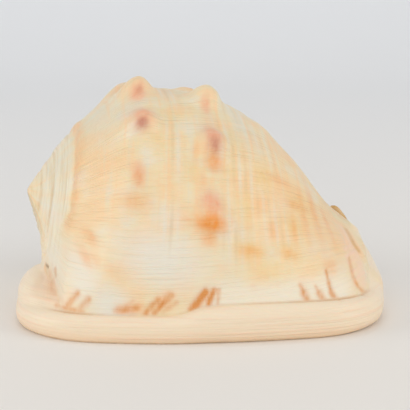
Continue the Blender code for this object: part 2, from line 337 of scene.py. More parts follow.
# Each path is x, y, z and radius.
canal = {
    "neck": (
        (32.1, 16.1, 34, 32), (62.1, 22.1, 30, 28), (78.1, 30.1, 25, 20), (82.1, 42.1, 28, 12), (80.1, 49.1, 36, 9),
    ),
    "lipSide": (
        (90.1, -51.9, 9, 10), (97.1, -22.9, 14, 12), (95.1, 7.1, 17, 13), (90.1, 20.1, 23, 14),
        (87.1, 30.1, 29, 13), (84.1, 40.1, 33, 12), (81.1, 46.1, 39, 10),
    ),
    "shieldSide": (
        (60.1, 58.1, 6, 7), (74.1, 55.1, 9, 8), (81.1, 55.1, 18, 8), (82.1, 54.1, 28, 7), (80.1, 50.1, 36, 6),
    ),
    "groove": (
        (66.1, -3.9, 0, 5.5), (86.1, 18.1, 3, 6.5), (100.1, 36.1, 8, 7.5), (104.1, 47.1, 20, 8),
        (102.1, 52.1, 34, 8), (98.1, 56.1, 52, 8),
    ),
}
flake = (
    (78.6, 50.1, 47.5, 1.6), (84.6, 50.1, 48.3, 2.2), (88.6, 49.1, 43.7, 2.4), (92.1, 47.1, 39.3, 2.0),
    (94.6, 45.1, 36, 1.5),
)
leftEar = (
    (-75.9, -62.9, 9, 8), (-89.4, -46.9, 12, 12), (-94.6, -28.9, 14, 13.6), (-93.4, -6.9, 15, 12.4),
    (-88.9, 14.1, 9, 9),
)


# A rounded bar along a path. Powers under 1 make its ends blunt.
def tube(name, path, segments=18, rings=36):
    curve = smoothCurve(path)

    def place(longitude, latitude):
        t = 0.5 - 0.5 * np.cos(math.pi * latitude)
        here = pointAt(curve, t)
        ahead = pointAt(curve, np.minimum(t + 0.01, 1)) - pointAt(curve, np.maximum(t - 0.01, 0))
        heading = unit(unit(ahead)[:, :3])
        side = unit(np.cross(heading, (0.0, 0.0, 1.0)))
        over = np.cross(side, heading)
        turn = 2 * math.pi * longitude
        bulge = here[:, 3] * np.sin(math.pi * latitude) ** 0.35
        return here[:, :3] + bulge[:, None] * (side * np.cos(turn)[:, None] + over * np.sin(turn)[:, None])

    return shapedBall(name, segments, rings, place)


mouth = {
    "path": (
        (-79.9, -23.9), (-59.9, -36.9), (-22.9, -40.9), (17.1, -35.9), (50.1, -20.9), (74.1, -0.9), (90.1, 18.1),
    ),
    "halfWidth": 7.0,
    "height": 9.0,
    "halfHeight": 19.0,
    "teeth": 11,
    "toothDepth": 1.3,
    "foldDepth": 0.7,
    "foldsPerTooth": 1.6,
}


# The long opening under the shell, toothed on the lip's side and folded on the other.
def mouthSlot():
    curve = smoothCurve(mouth["path"])

    def place(longitude, latitude):
        t = 0.5 - 0.5 * np.cos(math.pi * latitude)
        here = pointAt(curve, t)
        ahead = pointAt(curve, np.minimum(t + 0.01, 1)) - pointAt(curve, np.maximum(t - 0.01, 0))
        side = unit(np.column_stack((ahead[:, 1], -ahead[:, 0], np.zeros(len(t)))))
        turn = 2 * math.pi * longitude
        swell = np.sin(math.pi * latitude) ** 0.4
        lean = np.cos(turn)
        beat = 2 * math.pi * mouth["teeth"] * t
        folds = mouth["foldDepth"] * np.cos(mouth["foldsPerTooth"] * beat)
        teeth = np.where(lean > 0, mouth["toothDepth"] * np.cos(beat), folds)
        half = swell * (mouth["halfWidth"] + teeth) * np.sign(lean) * np.abs(lean) ** 0.5
        height = mouth["height"] + mouth["halfHeight"] * swell * np.sin(turn)
        return np.column_stack((here, height)) + side * half[:, None]

    return shapedBall("mouthSlot", 20, 130, place)


inside = {
    "angles": (-46.0, 130.0),
    "rings": 120,
    "search": (20.0, 195.0),  # distances along, at full size, between which it is looked for
    "core": 8.0,  # least radius of the pillar that the whorl winds round
    "leastHalf": 2.5,  # where it would be thinner than twice this, it ends
    "end": 184.0,  # it ends short of the canal
    "opening": 0.08,  # shares of its length over which it opens and closes
    "ending": 0.2,
}


def hollowBand(theta, h):
    size = growth(theta)
    outside = whorlRadius(theta, h)
    older = size / coil["growthPerTurn"]
    pillar = np.maximum(older * profileRadius(h / older), inside["core"] * size) + 0.5 * coil["wall"] * size
    return 0.5 * (outside - coil["wall"] * size + pillar), 0.5 * (outside - coil["wall"] * size - pillar)


# The space inside the last whorl, as far in as an eye at the mouth can see.
def hollow():
    first, last = inside["angles"]
    angles = first + (last - first) * np.arange(inside["rings"] + 1) / inside["rings"]
    reaches = []
    for angle in angles:
        h = np.arange(*inside["search"], 1.0)
        half = hollowBand(np.full_like(h, angle), h * growth(angle))[1]
        deep = h[half > inside["leastHalf"]] * growth(angle)
        reaches.append((deep[0], min(deep[-1], inside["end"])))
    reaches = np.array(reaches)

    def place(longitude, latitude):
        theta = first + (last - first) * latitude
        low = np.interp(theta, angles, reaches[:, 0])
        high = np.interp(theta, angles, reaches[:, 1])
        opening = np.minimum(latitude / inside["opening"], 1.0)
        ending = np.minimum((1.0 - latitude) / inside["ending"], 1.0)
        swell = np.sqrt(np.maximum(opening * (2.0 - opening) * ending * (2.0 - ending), 0.0))
        turn = 2 * math.pi * longitude
        h = 0.5 * (low + high) + 0.5 * (high - low) * swell * np.cos(turn)
        middle, half = hollowBand(theta, h)
        rise = np.sign(np.sin(turn)) * np.abs(np.sin(turn)) ** 0.7
        return coilPoint(theta, h, middle + np.maximum(half, 0.0) * swell * rise)

    return shapedBall("hollow", 40, 60, place)


def joinPieces(name, pieces):
    bpy.ops.object.select_all(action="DESELECT")
    for piece in pieces:
        piece.select_set(True)
    bpy.context.view_layer.objects.active = pieces[0]
    bpy.ops.object.join()
    pieces[0].name = name
    return pieces[0]


def finishWith(obj, kind, **settings):
    selectOnly(obj)
    modifier = obj.modifiers.new(kind.lower(), kind)
    for key, value in settings.items():
        setattr(modifier, key, value)
    bpy.ops.object.modifier_apply(modifier=modifier.name)


skin = {
    "voxel": 1.0,
    "spaceVoxel": 1.2,
    "finalVoxel": 1.25,
    "easeSteps": 2,
    "triangles": 186000,
    "firstCut": 0.00001,  # heights of the two cuts above the table, in metres, before and after the thinning
    "lastCut": 0.00003,
}


def shellBody():
    solids = (
        whorls(), rimPlate(), tube("canalNeck", canal["neck"]),
        tube("lipSide", canal["lipSide"]), tube("shieldSide", canal["shieldSide"]), tube("leftEar", leftEar),
        tube("flake", flake),
    )
    shell = joinPieces("shellSkin", solids)
    finishWith(shell, "REMESH", mode="VOXEL", voxel_size=skin["voxel"] * mm)
    print("solid parts of the shell joined", len(shell.data.polygons))
    spaces = joinPieces("spaces", (hollow(), mouthSlot(), tube("canalGroove", canal["groove"])))
    finishWith(spaces, "REMESH", mode="VOXEL", voxel_size=skin["spaceVoxel"] * mm)
    finishWith(shell, "BOOLEAN", object=spaces, operation="DIFFERENCE", solver="MANIFOLD")
    bpy.data.objects.remove(spaces)
    finishWith(shell, "REMESH", mode="VOXEL", voxel_size=skin["finalVoxel"] * mm)
    finishWith(shell, "SMOOTH", factor=0.5, iterations=skin["easeSteps"])
    print("mouth and hollow cut,", len(shell.data.polygons), "faces")
    return shell


shell = shellBody()


# Everything below the given height goes, in metres above the table.
def cutBelow(obj, height):
    selectOnly(obj)
    bpy.ops.object.mode_set(mode="EDIT")
    bpy.ops.mesh.select_mode(type="EDGE")
    bpy.ops.mesh.select_all(action="SELECT")
    finest = 0.000001
    bpy.ops.mesh.bisect(plane_co=(0, 0, height), plane_no=(0, 0, 1), clear_inner=True, threshold=finest)
    bpy.ops.object.mode_set(mode="OBJECT")


# The cut is closed with the flat band the shell rests on.
def closeBelow(obj):
    selectOnly(obj)
    bpy.ops.object.shade_smooth()
    bpy.ops.object.mode_set(mode="EDIT")
    bpy.ops.mesh.select_all(action="DESELECT")
    bpy.ops.mesh.select_non_manifold(
        extend=False, use_wire=False, use_boundary=True, use_multi_face=False, use_non_contiguous=False, use_verts=False
    )
    bpy.ops.mesh.fill(use_beauty=True)
    bpy.ops.mesh.faces_shade_flat()
    bpy.ops.mesh.select_all(action="SELECT")
    bpy.ops.mesh.normals_make_consistent(inside=False)
    bpy.ops.object.mode_set(mode="OBJECT")


# The piece is eased into the box of the solid it replaces.
def keepInside(obj, low, high):
    margin = 0.00001
    points = readPoints(obj)
    middle = 0.5 * (points.min(axis=0) + points.max(axis=0))
    span = points.max(axis=0) - points.min(axis=0)
    allowed = np.array(high) - np.array(low)
    scale = np.minimum(1.0, (allowed - 2.0 * margin) / span)
    moved = (points - middle) * scale + middle
    moved += np.maximum(np.array(low) + margin - moved.min(axis=0), 0.0)
    moved -= np.maximum(moved.max(axis=0) - np.array(high) + margin, 0.0)
    writePoints(obj, moved)


# How far each point lies from a path of straight lines.
def lineDistance(points, path):
    nearest = np.full(len(points), 1e9)
    for a, b in zip(path[:-1], path[1:]):
        start, step = np.array(a, float), np.array(b, float) - np.array(a, float)
        share = np.clip((points - start) @ step / (step @ step), 0.0, 1.0)
        nearest = np.minimum(nearest, np.linalg.norm(points - start - share[:, None] * step, axis=1))
    return nearest


def creaseLine():
    edge = rimCurve[::4]
    half, centre, slope = rimSection(edge[:, 0], edge[:, 1])
    edge = np.column_stack((edge, np.zeros(len(edge))))
    line = edge + unit(rimCentre - edge) * rim["creaseInset"]
    line[:, 2] += centre + half - 0.6
    return line[edge[:, 1] < -8.0]


relief = {
    "cordPitch": 6.5,  # broad low spiral ribs, as distance along the axis at full size
    "cordStart": 98.0,
    "cordHeight": 0.05,
    # bands of stronger cords: distance along the axis, half width, added height
    "cordBands": ((69.0, 6.0, 0.12), (99.0, 7.0, 0.14), (111.0, 6.0, 0.09), (124.0, 7.0, 0.1)),
    "lipCords": 0.42,  # share of their height that the cords beside the lip keep
    "threadPitch": 1.9,
    "threadHeight": 0.12,
    "sutures": (12.4, 7.2),
    "suturePlace": 20.6,
    "sutureTurn": 0.19,
    "sutureHeight": 0.8,
    "lineWidth": 1.1,
    "lineDepth": 0.7,
    "foldDepth": 0.63,
    "foldWidth": 1.43,
    "ridgeHeight": 0.7,
    "ridgeWidth": 2.4,
    "wrinkleHeight": 0.45,
    "wrinkleWidth": 1.3,
    "skinGap": (3.2, 1.4),  # how far a point may lie from the coil and still belong to the whorl
    # the fold that runs down the outside of the canal, and the shorter one inside it
    "folds": (
        ((85.5, -13, 44.5), (86, -28, 38), (86, -38, 33.5), (87.5, -45, 27.5), (90, -50, 22.5), (94.5, -54, 18.5)),
        ((72.5, -53, 34), (73.5, -58, 29), (76, -64, 24), (79, -67, 20)),
        ((87, 5, 46), (89, -8, 43), (90.5, -14, 40.5), (93.5, -20, 36), (96, -24, 31), (98, -30, 25)),
        ((-91, -31, 32), (-90, -34, 32), (-89, -37.5, 32)),
        ((102, -49, 16), (99, -54, 15), (95, -59, 13.5), (88, -66, 13.5), (80, -71, 14)),
    ),
    # short pale wrinkles that cross the outside of the canal
    "wrinkles": (
        ((83.5, -29, 40.5), (89, -18, 40.5)), ((84.5, -35, 37.5), (90, -23, 38)), ((85.5, -38, 34), (91, -26, 35)),
        ((87, -42, 30.5), (93, -29, 31.5)), ((89.5, -45, 27), (95, -32, 27.5)),
    ),
    "ridges": (((91, 8, 45), (92.5, -6, 42), (94, -13, 39), (97, -17, 34), (100, -20, 28), (103, -26, 22)),),
}


# The angle and the distance along at full size of each point, and how far it belongs to the whorl.
def closeness(points):
    theta, h, radius = coilPlace(points)
    onWhorl = fade(np.abs(radius - whorlRadius(theta, h)), *relief["skinGap"])
    onWhorl *= 1.0 - fade(points[:, 1], 3.0, 9.0) * fade(points[:, 0], 89.0, 94.0)  # the canal's end is lip
    return theta, h / growth(theta), onWhorl


# Distance along past the suture, which turns towards the apex where the lip begins.
def suturePlace(theta, along):
    return along - relief["suturePlace"] + relief["sutureTurn"] * np.maximum(-theta, 0.0)


# Fine threads on the spire, and the sutures of its older whorls.
def threads(along):
    wave = relief["threadHeight"] * np.cos(2 * math.pi * along / relief["threadPitch"])
    wave *= fade(along, 2.0, 5.0) * fade(along, 20.0, 18.0)
    for place in relief["sutures"]:
        wave -= 0.3 * np.exp(-(((along - place) / 0.6) ** 2)) - 0.2 * np.exp(-(((along - place - 1.6) / 0.9) ** 2))
    return wave


# The low ribs that run round the whorl, stronger in a few bands.
def cordWave(theta, along):
    height = relief["cordHeight"] * np.ones(len(along))
    for place, half, added in relief["cordBands"]:
        height += added * np.exp(-(((along - place) / half) ** 2))
    wander = 0.35 * np.sin(theta / 17.0) + 0.3 * np.sin(theta / 7.3 + along / 21.0) - relief["cordStart"]
    low = relief["lipCords"] * fade(along, 94.0, 86.0) * fade(along, 56.0, 62.0)  # these go on down to the lip
    height = height * fade(along, 24.0, 34.0) * (low + (1.0 - low) * fade(theta, -14.0, 6.0))
    height = height * (1.0 + 0.35 * np.sin(theta / 6.1 + along / 5.0))
    wave = np.cos(2 * math.pi * (along + wander) / relief["cordPitch"])
    return height * (wave + 0.25 * wave**2) + threads(along) * fade(theta, -50.0, -26.0)


def addRelief(obj):
    points = readPoints(obj) / mm
    normals = readNormals(obj)
    theta, along, onWhorl = closeness(points)
    lift = cordWave(theta, along) * onWhorl
    past = suturePlace(theta, along)
    edge = np.exp(-(((past - 3.4) / 1.8) ** 2)) - 1.2 * np.exp(-((past / 1.4) ** 2))
    edge *= relief["sutureHeight"]  # the last whorl stands proud of the spire
    lift += edge * onWhorl * fade(theta, -16.0, -6.0)
    outward = (normals @ np.array((0.0, -0.6, 0.8))) > -0.2
    near = lineDistance(points, creaseLine())
    lift -= relief["lineDepth"] * np.exp(-((near / relief["lineWidth"]) ** 2)) * outward
    for fold in relief["folds"]:
        lift -= relief["foldDepth"] * np.exp(-((lineDistance(points, fold) / relief["foldWidth"]) ** 2))
    for ridge in relief["ridges"]:
        lift += relief["ridgeHeight"] * np.exp(-((lineDistance(points, ridge) / relief["ridgeWidth"]) ** 2))
    for wrinkle in relief["wrinkles"]:
        lift += relief["wrinkleHeight"] * np.exp(-((lineDistance(points, wrinkle) / relief["wrinkleWidth"]) ** 2))
    writePoints(obj, (points + lift[:, None] * normals) * mm)


# Faces that the mouth, the table side and the back hide are thinned most.
def thinFaces(obj, most):
    points = readPoints(obj) / mm
    normals = readNormals(obj)
    theta, along, onWhorl = closeness(points)
    outside = (onWhorl > 0.3) | (np.linalg.norm(points[:, :2] - rimCentre[:2], axis=1) > 60.0)
    facing = normals @ np.array((0.0, -0.7, 0.7))
    weight = np.where(outside & (facing > -0.2), 0.0, 1.0)
    group = obj.vertex_groups.new(name="coarse")
    for value in (0.0, 1.0):
        group.add([int(i) for i in np.flatnonzero(weight == value)], value, "REPLACE")
    obj.data.calc_loop_triangles()
    count = len(obj.data.loop_triangles)
    finishWith(obj, "DECIMATE", ratio=min(1.0, most / count), vertex_group="coarse", vertex_group_factor=1.0)
    obj.vertex_groups.clear()
    print("faces thinned from", count, "to", len(obj.data.polygons))


addRelief(shell)
cutBelow(shell, skin["firstCut"])
thinFaces(shell, skin["triangles"])
cutBelow(shell, skin["lastCut"])
closeBelow(shell)
keepInside(shell, *solidBox)
print("shell stands on the table,", len(shell.data.polygons), "faces")


# Each spot is angle, distance along the axis at full size, reach across the angle, reach along, and strength.
marks = {
    "rosy": (
        (72, 52, 6, 5, 0.9), (52, 52, 9, 6.5, 0.85), (25, 51, 7.0, 3.6, 0.65), (66, 89.5, 6, 3, 0.7),
        (45, 89.5, 9.5, 5.2, 0.95), (17, 88, 6.5, 6, 0.9), (98, 44, 5, 5, 0.3),
        (126, 50, 6, 5, 0.6), (155, 49, 6, 5, 0.6), (185, 48, 6, 5, 0.5), (104, 90, 6, 5, 0.6), (133, 90, 6, 5, 0.6),
    ),
    "brown": (
        (46.5, 51.5, 3.2, 3.2, 0.8), (73, 52.5, 2.4, 2.2, 0.35), (40, 89.5, 4.2, 3.6, 0.62), (22, 51, 3.4, 1.8, 0.12),
    ),
    "rust": (
        (9.5, 88, 4.6, 8.0, 1.0), (4.5, 88, 4.0, 4.5, 0.5), (10.5, 88, 6.5, 14, 0.25), (9.5, 79, 1.6, 6, 0.35),
        (33.5, 90, 4.6, 5.0, 0.7), (23, 51, 4.5, 2.6, 0.35), (37, 80, 6, 2.0, 0.25), (26, 84, 5, 2, 0.2),
        (13, 51, 5, 8.5, 0.35), (2.0, 109, 2.4, 7.5, 0.32), (10.5, 121.5, 5, 2.6, 0.3), (2.5, 129.5, 2.5, 5.5, 0.3),
        (-7, 31.5, 3.5, 3.4, 0.45), (-15.5, 30.5, 3, 3.2, 0.4), (-14, 34, 2.2, 3.4, 0.25), (-14, 44, 3, 5, 0.2),
        (-15, 47, 4, 3, 0.15), (25, 138, 3, 8, 0.35), (35, 128, 3, 8, 0.25), (20, 115, 5, 5, 0.15),
        (0, 152, 3, 4, 0.3),
        (28, 150, 24, 2.6, 0.35), (22, 142, 18, 2.2, 0.3), (20, 158, 16, 2.0, 0.3), (12, 134, 9, 1.6, 0.3),
        (100, 70, 12, 5, 0.3), (140, 110, 12, 6, 0.35),
        (160, 70, 10, 6, 0.3), (190, 100, 12, 8, 0.3), (120, 30, 20, 4, 0.3), (200, 60, 16, 6, 0.3),
    ),
    "peach": (
        (25, 33, 30, 9, 0.75), (10, 40, 18, 8, 0.45), (25, 132, 22, 26, 0.75), (15, 158, 24, 24, 0.75),
        (-2, 160, 10, 10, 0.4), (60, 140, 25, 20, 0.4), (12, 112, 12, 8, 0.3), (20, 68, 18, 7, 0.15),
        (30, 100, 14, 5, 0.25), (110, 140, 30, 20, 0.5), (160, 140, 30, 20, 0.5), (-15, 38, 9, 8, 0.25),
    ),
    "amber": (
        (30, 78, 7, 4, 0.5), (33, 118, 9, 6, 0.5), (18, 107, 9, 5, 0.4), (40, 60, 5, 8, 0.3), (34, 98, 8, 4, 0.35),
        (14, 134, 8, 6, 0.45), (46, 104, 10, 5, 0.3), (26, 140, 10, 8, 0.4), (-3, 118, 7, 8, 0.3),
        (56, 70, 8, 6, 0.25), (2, 109, 4, 8, 0.6), (3, 129, 4, 8, 0.5), (120, 90, 20, 14, 0.4), (170, 70, 20, 16, 0.4),
    ),
    "grey": (
        (70, 34, 26, 9, 0.7), (75, 70, 14, 13, 0.35), (55, 112, 16, 9, 0.6), (60, 128, 12, 9, 0.35),
        (58, 90, 8, 6, 0.3), (80, 105, 16, 12, 0.4), (5, 105, 6, 6, 0.25), (30, 70, 8, 6, 0.15),
        (5, 118, 8, 4, 0.25), (-3, 98, 10, 6, 0.3), (110, 60, 20, 20, 0.4), (150, 90, 20, 20, 0.4),
    ),
    "pale": (
        (-6, 66, 13, 24, 0.9), (-14, 92, 8, 14, 0.6), (-5, 50, 9, 10, 0.6), (8, 66, 8, 10, 0.5), (-10, 140, 5, 20, 0.4),
        (-12, 112, 4, 14, 0.5), (-22, 30, 10, 12, 0.75), (-25, 44, 9, 12, 0.95), (-30, 18, 16, 8, 0.6),
        (-14, 13, 20, 6, 0.5),
    ),
}
# Streaks where the whorl meets the lip: two ends as x and z on the front, reach across, and strength.
streaks = {
    "streak": (
        ((-88, 28), (-84, 22), 5.0, 0.28), ((-86, 24), (-78, 18), 2.4, 0.3), ((-82, 17), (-66, 16), 1.3, 0.55),
        ((-75, 18), (-69.5, 25), 1.8, 0.6), ((-68, 16.5), (-63, 22.5), 1.9, 0.6), ((-47, 17.5), (-36, 19), 2.0, 0.6),
        ((-44, 19), (-38, 23), 1.3, 0.3), ((-31, 16), (-24, 24), 1.7, 0.7), ((-26, 16.5), (-17, 26), 2.0, 0.8),
        ((-22, 17), (-14, 22), 1.6, 0.4), ((-5, 18.5), (2.5, 28), 2.2, 1.15), ((4, 21), (7, 29), 1.6, 0.9),
        ((9, 21), (10, 29), 1.1, 0.5), ((55.5, 29), (57.5, 25), 1.1, 0.65), ((57.5, 25), (60.5, 19), 2.0, 0.75),
        ((64.5, 27.5), (66.5, 24), 1.0, 0.5), ((66.5, 24), (69.5, 19), 2.0, 0.7), ((71, 34), (72, 29), 0.9, 0.65),
        ((72, 29), (73.5, 24), 1.2, 0.8), ((73.5, 24), (76.5, 19), 1.7, 0.75), ((86, 36), (87.5, 28), 1.0, 0.5),
        ((87.5, 28), (90, 23), 1.0, 0.6), ((90, 23), (95, 18.5), 1.0, 0.45),
    ),
    "rust": (
        ((-45, 17.5), (-34, 19), 3.0, 0.4), ((-31, 16), (-18, 26), 3.0, 0.25), ((29, 21), (29, 30), 1.5, 0.3),
        ((43, 21), (43, 29), 1.5, 0.28), ((67, 26), (71, 20), 2.8, 0.3), ((58, 28), (63, 20), 2.8, 0.3),
        ((-4, 19), (8, 27), 3.2, 0.25), ((72, 36), (75, 33), 3.0, 0.3),
    ),
}
# Lines in space with a reach: the broken flake and the worn edge of the canal, and the wrinkled outside of the canal.
regions = {
    "ochre": (
        (((78.6, 50, 47.5), (84.6, 50, 48.3), (88.6, 49, 43.7), (92.1, 47, 39.3)), 3.4, 0.95),
        (((88, 5, 46), (90, -7, 43), (91, -13, 40.5), (94, -18, 37)), 1.5, 0.75),
    ),
    "ridge": (
        (((91, 24, 46), (93, 8, 44), (95, -4, 40), (98, -12, 34), (102, -18, 28), (105, -24, 22)), 5.0, 0.8),
    ),
    "peel": (
        (((87, 0, 45), (89, -20, 38), (92, -34, 31), (93, -42, 26)), 7.0, 0.55),
        *((wrinkle, relief["wrinkleWidth"], 0.9) for wrinkle in relief["wrinkles"]),
    ),
    "stain": (
        (((-92, -44, 29), (-94, -48, 24), (-90, -55, 20)), 6.0, 0.25),
        (((-86, -50, 27), (-83, -58, 21)), 2.2, 0.4),
        (((-84, -46, 33), (-83, -50, 30)), 1.4, 0.7),
    ),
    # painted shade: a dark line in the tight corner where the lip's left end tucks under the body whorl
    "slitShade": ((((-91, -31, 32), (-90, -34, 32), (-89, -37.5, 32)), 1.0, 0.9),),
}


def setAttribute(obj, name, values):
    layer = obj.data.attributes.new(name, "FLOAT", "POINT")
    layer.data.foreach_set("value", np.asarray(values, np.float32))


masks = {
    "radius": 75.0,  # mean radius of the last whorl, which turns degrees into millimetres
    "growthLineBend": 0.012,
    "cordUnit": 0.25,  # height of a cord that takes the full tint
    "frontEnd": -25.0,  # the streaks stay in front of this y
    "mouthReach": (16.0, 6.0),  # where the blush inside the mouth starts and is full
}


# Soft spots on the opened-out whorl.
def knobSpots(theta, along, spots):
    total = np.zeros(len(theta))
    for angle, place, across, reach, strength in spots:
        turn = (theta - angle) * math.radians(masks["radius"]) * 0.95
        distance = np.hypot(turn / across, (along - place) / reach)
        total = np.maximum(total, strength * np.exp(-(distance**2.4)))
    return total


# Soft lines laid over what is there.
def linePaint(total, points, lines, sharpness, mask=1.0):
    for *path, reach, strength in lines:
        distance = lineDistance(points, path) / reach
        total = np.maximum(total, strength * np.exp(-(distance**sharpness)) * mask)
    return total


# Each amount is a point attribute that the material reads.
def markSurface(obj):
    points = readPoints(obj) / mm
    normals = readNormals(obj)
    theta, along, onWhorl = closeness(points)
    past = suturePlace(theta, along)
    x, height = points[:, 0], points[:, 2]
    # growth lines run level across the front, so their coordinate leans against the tilted axis
    bend = masks["growthLineBend"] * np.maximum(45.0 - along, 0.0) ** 2
    around = np.radians(theta) * masks["radius"] - along * growth(theta) * math.sin(tilt) + bend
    amounts = {"around": around, "along": along, "whorl": onWhorl}
    # the cords' relief height, from which the material paints shade in the grooves and highlight on the ridges
    amounts["cord"] = cordWave(theta, along) * onWhorl / masks["cordUnit"]
    for name, spots in marks.items():
        amounts[name] = knobSpots(theta, along, spots) * onWhorl

    line = creaseLine()
    order = np.argsort(line[:, 0])
    lipTop = np.interp(x, line[order, 0], line[order, 2])
    front = (points[:, 1] < masks["frontEnd"]) & (normals[:, 1] < 0.2)
    front = front * fade(height - lipTop, 0.2, 1.6)
    flat = np.column_stack((x, height))
    for name, lines in streaks.items():
        amounts[name] = linePaint(amounts.get(name, np.zeros(len(points))), flat, lines, 2.2, front)
    for name, lines in regions.items():
        opened = [(*path, reach, strength) for path, reach, strength in lines]
        amounts[name] = linePaint(np.zeros(len(points)), points, opened, 3.0)

    spireGrey = 0.6 * fade(past, 1.0, -1.0) * onWhorl * fade(theta, -26.0, -8.0)
    amounts["grey"] = np.maximum(amounts["grey"], spireGrey) * (0.2 + 0.8 * fade(along, 2.0, 11.0))
    seam = fade(past, 0.3, 1.5) * np.exp(-(((past - 1.5) / 2.6) ** 2)) * onWhorl * fade(theta, -20.0, -4.0)
    amounts["rust"] = np.maximum(amounts["rust"], 0.3 * seam)
    # painted highlight: a paler band where the whorl flares out just above the lip
    aboveLip = fade(height, 37.0, 25.0) * fade(x, 4.0, 14.0) * fade(x, 94.0, 80.0)
    amounts["flareHighlight"] = aboveLip * front * onWhorl
    amounts["fine"] = onWhorl * fade(past, 1.0, 5.0) * fade(along, 172.0, 160.0)
    amounts["stripes"] = onWhorl * fade(along, 24.0, 40.0) * fade(along, 172.0, 160.0)
    amounts["stripes"] *= 0.15 + 0.85 * fade(theta, 0.0, 14.0)
    amounts["spire"] = onWhorl * fade(past, 1.0, -1.0) * fade(theta, -50.0, -26.0)
    # painted shade: a darker line along the crease where the whorl meets the lip's roll
    amounts["crease"] = np.exp(-(lineDistance(points, line) ** 2)) * (normals[:, 2] > -0.2)
    amounts["lip"] = (1.0 - onWhorl) * fade(height, 60.0, 45.0)
    amounts["layered"] = amounts["lip"] * fade(height, 24.0, 18.0)
    # painted warm glow: peach towards the foot of the lip and on down-facing faces near the table, standing in for
    # light through the thin shell
    amounts["foot"] = (1.0 - onWhorl) * fade(height, 10.0, 1.0)
    facingDown = fade(-normals[:, 2], 0.3, 0.8) * fade(height, 12.0, 6.0)
    amounts["under"] = np.maximum(facingDown, fade(height, 0.4, 0.1))
    inMouth = np.array([(px, py, 2.0) for px, py in mouth["path"]])
    amounts["blush"] = fade(lineDistance(points, inMouth), *masks["mouthReach"]) * fade(height, 30.0, 12.0)
    for name, values in amounts.items():
        setAttribute(obj, name, values)
    return list(amounts)


laid = markSurface(shell)
print(len(laid), "marks and masks laid on the shell")


def linearColour(code):
    parts = [int(code[i : i + 2], 16) / 255.0 for i in (0, 2, 4)]
    return tuple(v / 12.92 if v <= 0.04045 else ((v + 0.055) / 1.055) ** 2.4 for v in parts) + (1.0,)


def addNode(tree, kind, settings=None, links=None):
    node = tree.nodes.new(kind)
    for key, value in (settings or {}).items():
        if isinstance(key, int) or key in node.inputs:
            node.inputs[key].default_value = value
        else:
            setattr(node, key, value)
    for key, source in (links or {}).items():
        tree.links.new(source, node.inputs[key])
    return node


tones = {
    "cream": "f4dfb5",  # the body's ground colour
    "peach": "fcd2a0",
    "grey": "e7e1cc",  # greenish grey of the older shell and the spire
    "pale": "ece6d8",
    "amber": "f3cd86",
    "rosy": "f5b58f",
    "rust": "f69f48",
    "brown": "c67c66",
    "streak": "e0964e",
    "ochre": "d2a45e",
    "pink": "f9d3b4",
    "peel": "fbd5ba",
    "ridge": "f6dfb4",
    # painted shade along the crease above the lip
    "crease": "dcb38c",
    # painted shade in the corner under the lip's left end
    "slitShade": "96784e",
    "stain": "dfb590",
    # painted warm glow at the foot of the lip
    "foot": "f9debf",
    # painted shade in the grooves between the cords and between the spire's threads
    "grooveShade": "d8b98c",
    # painted highlight on the flared band above the lip
    "flareHighlight": "f5e9d2",
    "lip": "f6e3c7",
    # painted warm glow on down-facing faces near the table
    "under": "f5d8b6",
    "blush": "e8ac78",
}


grains = {
    # what it reads, turn, scale, detail and roughness of the noise, per millimetre of the opened-out whorl
    "cloud": ("whorl", (0.0, 0.0, 0.0), (0.05, 0.05, 1.0), 4.0, 0.55),
    "edge": ("whorl", (0.0, 0.0, 0.0), (0.35, 0.22, 1.0), 4.0, 0.55),
    "bands": ("whorl", (0.0, 0.0, 0.0), (0.28, 0.012, 1.0), 2.0, 0.55),  # vertical colour bands 4 to 8 mm wide
    "lines": ("whorl", (0.0, 0.0, 0.0), (0.03, 0.62, 1.0), 2.0, 0.55),  # growth lines about 1.6 mm apart
    "threads": ("whorl", (0.0, 0.0, 0.0), (0.85, 0.01, 1.0), 1.0, 0.55),  # about 1.2 mm apart round the spire
    # and here per metre of the object
    "wrinkles": ("object", (0.0, 0.9, 0.0), (60.0, 60.0, 260.0), 2.0, 0.5),  # about 4 mm apart, across the canal
    "layers": ("object", (0.0, 0.0, 0.0), (14.0, 14.0, 520.0), 3.0, 0.5),  # 1 to 3 mm thick round the lip
}
